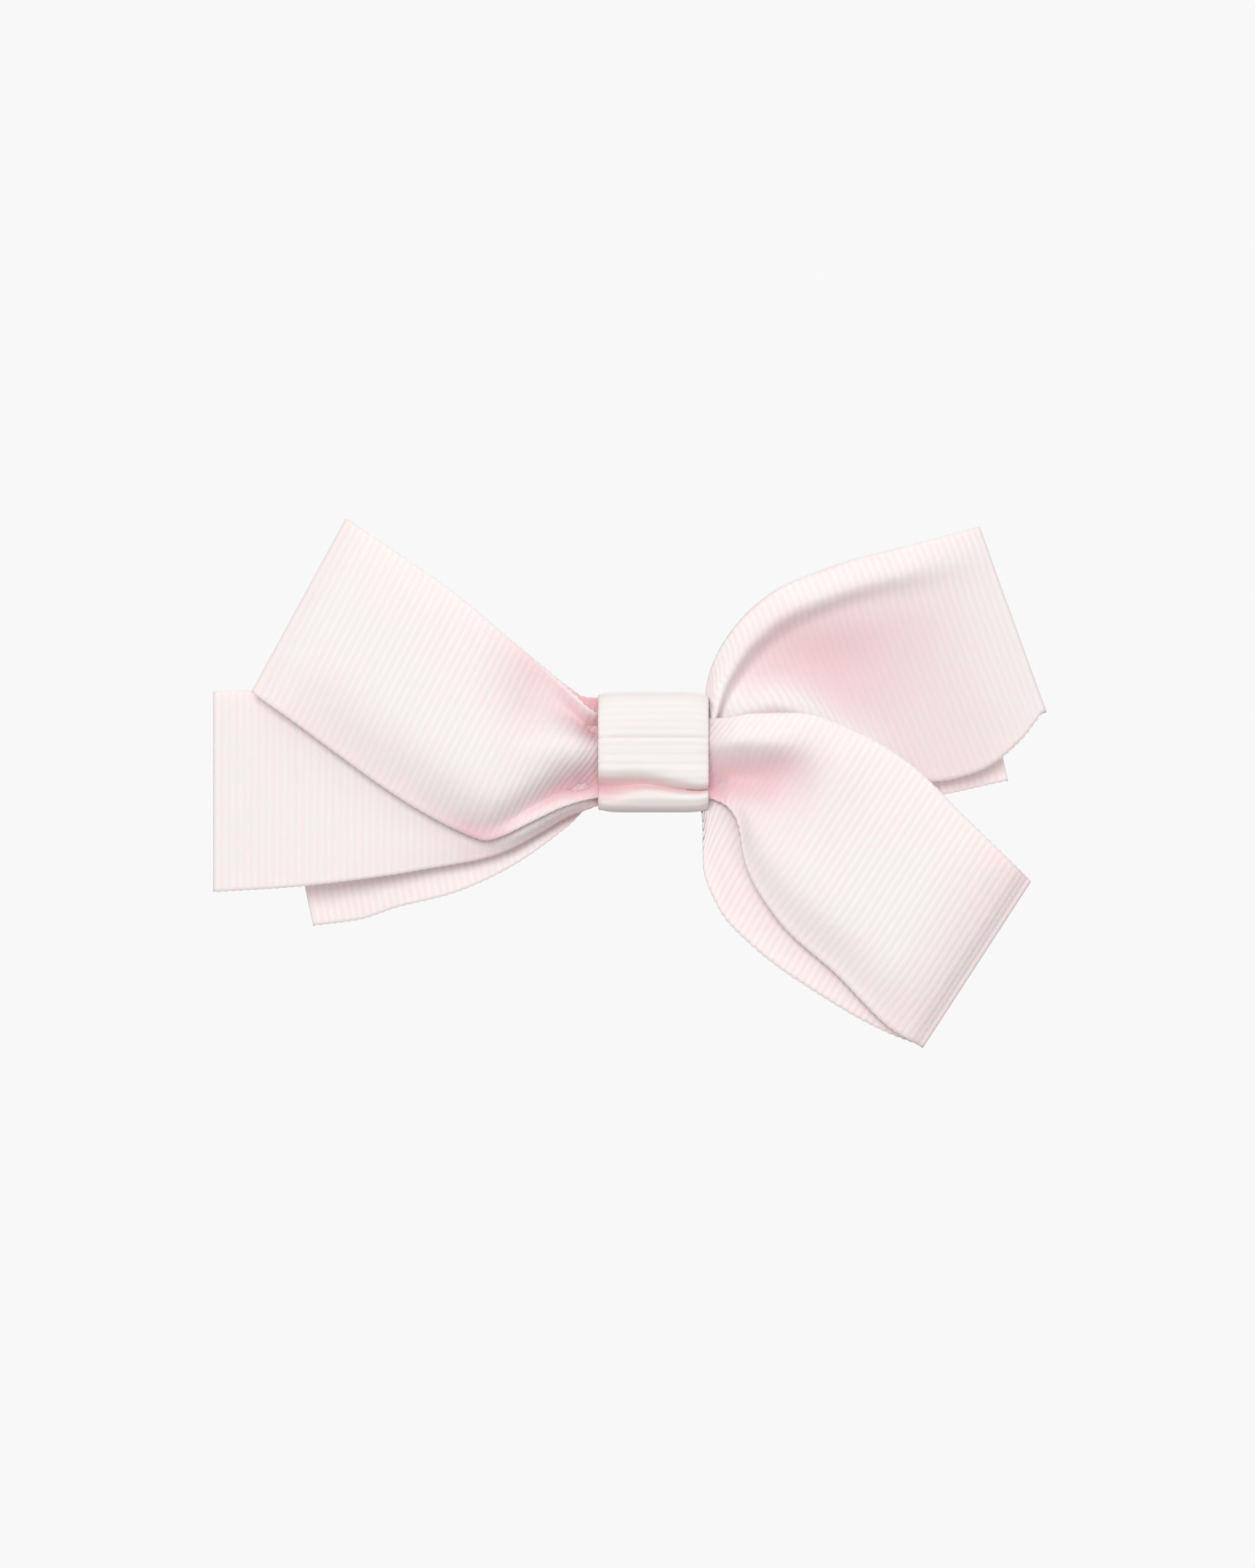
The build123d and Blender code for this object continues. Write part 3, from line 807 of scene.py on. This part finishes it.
liningPoints = addRibs(liningPoints, lining["rowsPerRib"], lining["ribHeight"])
liningRibbon = gridObject("liningRibbon", liningPoints[:, ::2])  # half the columns are enough
thicken(liningRibbon, lining["thickness"])
liningRibbon.data.materials.append(ribbonMaterial("ribbonLining", cloth, liningRibs))
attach(liningRibbon, "bow")
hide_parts("clip_lining")
print("stage: lining length", round(liningLength, 1))

# thread: turns round the gathered middle, advancing along x; a turn is a squared-off circle,
# sign(cos) x |cos|^square in depth and the same with sin in height
thread = {
    "turns": 5,
    "pitch": 0.45,
    "radius": 0.18,
    "halfHeight": 5.0,
    "front": 6.0,
    "back": 1.6,
    "square": 0.45,
    "stepsPerTurn": 60,
    "sides": 8,
    "color": (0.91, 0.88, 0.86),
    # painted shade in the grooves between the plies
    "paintedGrooveShade": (0.72, 0.67, 0.65),
    "roughness": 0.65,
    "sheen": 0.2,
    "twists": 160,
    "plies": 2,
    "relief": 0.5,
    "reliefDepth": 0.00003,
}
steps = thread["stepsPerTurn"] * thread["turns"]
turnAngle = np.linspace(0, 2 * math.pi * thread["turns"], steps)
flatCos = np.sign(np.cos(turnAngle)) * np.abs(np.cos(turnAngle)) ** thread["square"]
flatSin = np.sign(np.sin(turnAngle)) * np.abs(np.sin(turnAngle)) ** thread["square"]
middle = (thread["front"] + thread["back"]) / 2
threadPath = np.stack([
    thread["pitch"] * (turnAngle / (2 * math.pi) - thread["turns"] / 2),
    -(middle + (thread["front"] - thread["back"]) / 2 * flatCos),
    thread["halfHeight"] * flatSin,
], 1)


# plied thread: ply share = 0.5 + 0.5 sin(2 pi x (twists x share along + plies x share round)),
# which paints shade into the grooves between the plies and raises the plies
def threadMaterial(name, thread):
    material, tree, shader = addMaterial(name, {
        "Roughness": thread["roughness"],
        "Sheen Weight": thread["sheen"],
    })
    place = addNode(tree, "ShaderNodeUVMap", uv_map="weave")
    turns = (2 * math.pi * thread["twists"], 2 * math.pi * thread["plies"], 0)
    slant = addNode(tree, "ShaderNodeVectorMath", {1: turns}, operation="DOT_PRODUCT")
    wave = addNode(tree, "ShaderNodeMath", operation="SINE")
    ply = addNode(tree, "ShaderNodeMapRange", {"From Min": -1})
    tint = addTint(tree, thread["paintedGrooveShade"], thread["color"])
    relief = {"Strength": thread["relief"], "Distance": thread["reliefDepth"]}
    bump = addNode(tree, "ShaderNodeBump", relief)
    joinUp(tree, [
        (place, "UV", slant, 0),
        (slant, "Value", wave, 0),
        (wave, 0, ply, "Value"),
        (ply, "Result", tint, "Factor"),
        (tint, "Result", shader, "Base Color"),
        (ply, "Result", bump, "Height"),
        (bump, "Normal", shader, "Normal"),
    ])
    return material


windingThread = tubeObject(
    "windingThread", threadPath, thread["radius"], (1, 0, 0), thread["sides"]
)
windingThread.data.materials.append(threadMaterial("offWhiteThread", thread))
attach(windingThread, "bow")
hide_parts("gather_thread")
print("stage: thread")


# what the clip's steels share: rolling marks drawn out along x, and their relief
rolled = {"drawnOut": 0.15, "relief": 0.08, "reliefDepth": 0.00005}


# rolled steel: colour, roughness and bump all follow one noise, drawn out along the clip
def steelMaterial(name, steel):
    material, tree, shader = addMaterial(name, {"Metallic": 1})
    place = addNode(tree, "ShaderNodeTexCoord")
    stretch = addNode(tree, "ShaderNodeMapping", {"Scale": (steel["drawnOut"], 1, 1)})
    noise = addNode(tree, "ShaderNodeTexNoise", {"Scale": steel["grain"], "Detail": 4})
    tint = addTint(tree, steel["dull"], steel["color"])
    spread = addNode(tree, "ShaderNodeMapRange", {
        "To Min": steel["roughness"] - steel["spread"],
        "To Max": steel["roughness"] + steel["spread"],
    })
    relief = {"Strength": steel["relief"], "Distance": steel["reliefDepth"]}
    bump = addNode(tree, "ShaderNodeBump", relief)
    joinUp(tree, [
        (place, "Object", stretch, "Vector"),
        (stretch, "Vector", noise, "Vector"),
        (noise, "Fac", tint, "Factor"),
        (tint, "Result", shader, "Base Color"),
        (noise, "Fac", spread, "Value"),
        (spread, "Result", shader, "Roughness"),
        (noise, "Fac", bump, "Height"),
        (bump, "Normal", shader, "Normal"),
    ])
    return material


# spring: coil round the pin at x and y, with a straight leg off each end; the angles are how far
# the legs lean off the clip's length, in degrees. Known fault: the sweep goes the wrong way round
# between them, so the back leg lies on the front lever, not on the back one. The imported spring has
# frontStart - backStart there.
spring = {
    "x": 10.0,
    "y": 2.6,
    "coilRadius": 1.25,
    "wire": 0.35,
    "pitch": 0.82,
    "turns": 4,
    "leg": 7.5,
    "frontAngle": 7.35,
    "backAngle": 18.3,
    "coilSteps": 260,
    "legSteps": 12,
    "sides": 12,
    "color": (0.66, 0.65, 0.64),
    "dull": (0.52, 0.51, 0.50),
    "roughness": 0.35,
    "spread": 0.06,
    "grain": 900,
    **rolled,
}
frontStart = math.radians(-90 - spring["frontAngle"])
backStart = math.radians(90 + spring["backAngle"])
sweep = (backStart - frontStart) % (2 * math.pi) + 2 * math.pi * spring["turns"]
half = spring["pitch"] * sweep / (2 * math.pi) / 2
coilAngle = frontStart - sweep * np.linspace(0, 1, spring["coilSteps"])
coilPath = np.stack([
    spring["x"] + spring["coilRadius"] * np.cos(coilAngle),
    spring["y"] + spring["coilRadius"] * np.sin(coilAngle),
    np.linspace(half, -half, spring["coilSteps"]),
], 1)
legShare = np.linspace(1, 0, spring["legSteps"])[:-1, None]
startOut = unit(coilPath[0] - coilPath[1]) * [1, 1, 0]
endOut = unit(coilPath[-1] - coilPath[-2]) * [1, 1, 0]
springPath = np.concatenate([
    coilPath[0] + startOut * spring["leg"] * legShare,
    coilPath,
    coilPath[-1] + endOut * spring["leg"] * legShare[::-1],
])
torsionSpring = tubeObject("torsionSpring", springPath, spring["wire"], (0, 0, 1), spring["sides"])
torsionSpring.data.materials.append(steelMaterial("springWire", spring))
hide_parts("torsion_spring")
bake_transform(torsionSpring)
print("stage: spring")

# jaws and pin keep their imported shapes, in nickel plate
nickelPlate = {
    "color": (0.86, 0.85, 0.83),
    "dull": (0.70, 0.69, 0.67),
    "roughness": 0.24,
    "spread": 0.08,
    "grain": 600,
    **rolled,
}
nickel = steelMaterial("nickelSteel", nickelPlate)
for name in ("front_jaw", "back_jaw", "hinge_pin"):
    nodes[name].data.materials.clear()
    nodes[name].data.materials.append(nickel)

glue = {
    "color": (0.92, 0.90, 0.84),
    "cloudy": (0.84, 0.80, 0.70),
    "roughness": 0.35,
    "through": 0.3,
    "throughDepth": 0.001,
    "clouds": 900,
    "relief": 0.3,
    "reliefDepth": 0.0001,
}


# set glue: base colour and bump = cloudy noise over the pad, with light passing through
def glueMaterial(name, glue):
    material, tree, shader = addMaterial(name, {
        "Roughness": glue["roughness"],
        "Subsurface Weight": glue["through"],
        "Subsurface Scale": glue["throughDepth"],
    })
    place = addNode(tree, "ShaderNodeTexCoord")
    cloud = addNode(tree, "ShaderNodeTexNoise", {"Scale": glue["clouds"], "Detail": 3})
    tint = addTint(tree, glue["cloudy"], glue["color"])
    relief = {"Strength": glue["relief"], "Distance": glue["reliefDepth"]}
    bump = addNode(tree, "ShaderNodeBump", relief)
    joinUp(tree, [
        (place, "Object", cloud, "Vector"),
        (cloud, "Fac", tint, "Factor"),
        (tint, "Result", shader, "Base Color"),
        (cloud, "Fac", bump, "Height"),
        (bump, "Normal", shader, "Normal"),
    ])
    return material


nodes["glue_pad"].data.materials.clear()
nodes["glue_pad"].data.materials.append(glueMaterial("setGlue", glue))
print("stage: clip and glue")

# camera straight in front; pictureHeight is the height of the view at the depth called front, and
# white the strength of the ground behind it
view = {
    "lens": 100.0,
    "sensor": 36,
    "x": -2.84,
    "z": -3.28,
    "front": 6,
    "pictureHeight": 172.5,
    "white": 0.939,
}
distance = view["lens"] * view["pictureHeight"] / view["sensor"] + view["front"]
camera = bpy.data.objects.new("camera", bpy.data.cameras.new("camera"))
camera.data.lens = view["lens"]
camera.data.sensor_width = view["sensor"]
camera.data.clip_start = 0.01
camera.location = (view["x"] * millimetre, -distance * millimetre, view["z"] * millimetre)
camera.rotation_euler = (math.pi / 2, 0, 0)
bpy.context.scene.collection.objects.link(camera)
bpy.context.scene.camera = camera
bpy.context.scene.view_settings.view_transform = "Standard"

# surroundings: an even ground to look at, and a dome of light whose strength rises with the height
# of the direction, from below at -reach to above at +reach
dome = {"below": 0.40, "above": 0.62, "reach": 0.7}
world = bpy.data.worlds.new("world")
bpy.context.scene.world = world
world.use_nodes = True
tree = world.node_tree
background = tree.nodes["Background"]
background.inputs["Color"].default_value = (1, 1, 1, 1)
seen = addNode(tree, "ShaderNodeLightPath")
direction = addNode(tree, "ShaderNodeTexCoord")
split = addNode(tree, "ShaderNodeSeparateXYZ")
domeStrength = addNode(tree, "ShaderNodeMapRange", {
    "From Min": -dome["reach"],
    "From Max": dome["reach"],
    "To Min": dome["below"],
    "To Max": dome["above"],
})
strength = addNode(tree, "ShaderNodeMapRange", {"To Max": view["white"]})
joinUp(tree, [
    (direction, "Generated", split, 0),
    (split, "Z", domeStrength, "Value"),
    (seen, "Is Camera Ray", strength, "Value"),
    (domeStrength, "Result", strength, "To Min"),
    (strength, "Result", background, "Strength"),
])

# floor: the same even white, which lights and shades nothing
floorHalf, floorHeight = 2, -0.1
floorCorners = [(-1, -1), (1, -1), (1, 1), (-1, 1)]
floorMesh = bpy.data.meshes.new("floor")
floorMesh.from_pydata(
    [(x * floorHalf, y * floorHalf, floorHeight) for x, y in floorCorners], [], [(0, 1, 2, 3)]
)
floor = bpy.data.objects.new("floor", floorMesh)
bpy.context.scene.collection.objects.link(floor)
floorMaterial = bpy.data.materials.new("floor")
floorMaterial.use_nodes = True
tree = floorMaterial.node_tree
tree.nodes.clear()
glow = addNode(tree, "ShaderNodeEmission", {"Strength": view["white"]})
output = addNode(tree, "ShaderNodeOutputMaterial")
tree.links.new(glow.outputs[0], output.inputs["Surface"])
floorMesh.materials.append(floorMaterial)
floor.visible_diffuse = False
floor.visible_glossy = False
floor.visible_shadow = False


# round light at a place, turned so that it faces the bow, in metres and watts
def softLight(name, place, size, power):
    light = bpy.data.lights.new(name, "AREA")
    light.shape = "DISK"
    light.size = size
    light.energy = power
    lamp = bpy.data.objects.new(name, light)
    lamp.location = place
    x, y, z = np.array(place) / np.linalg.norm(place)
    lamp.rotation_euler = (math.acos(z), 0, math.atan2(y, x) + math.pi / 2)
    bpy.context.scene.collection.objects.link(lamp)


softLight("keyLight", place=(-0.15, -1.0, 0.28), size=0.45, power=5.9)
softLight("fillLight", place=(0.4, -0.9, -0.25), size=0.6, power=1.0)
softLight("backLight", place=(0.2, 0.9, 0.5), size=0.6, power=5.0)
print("stage: camera and light")
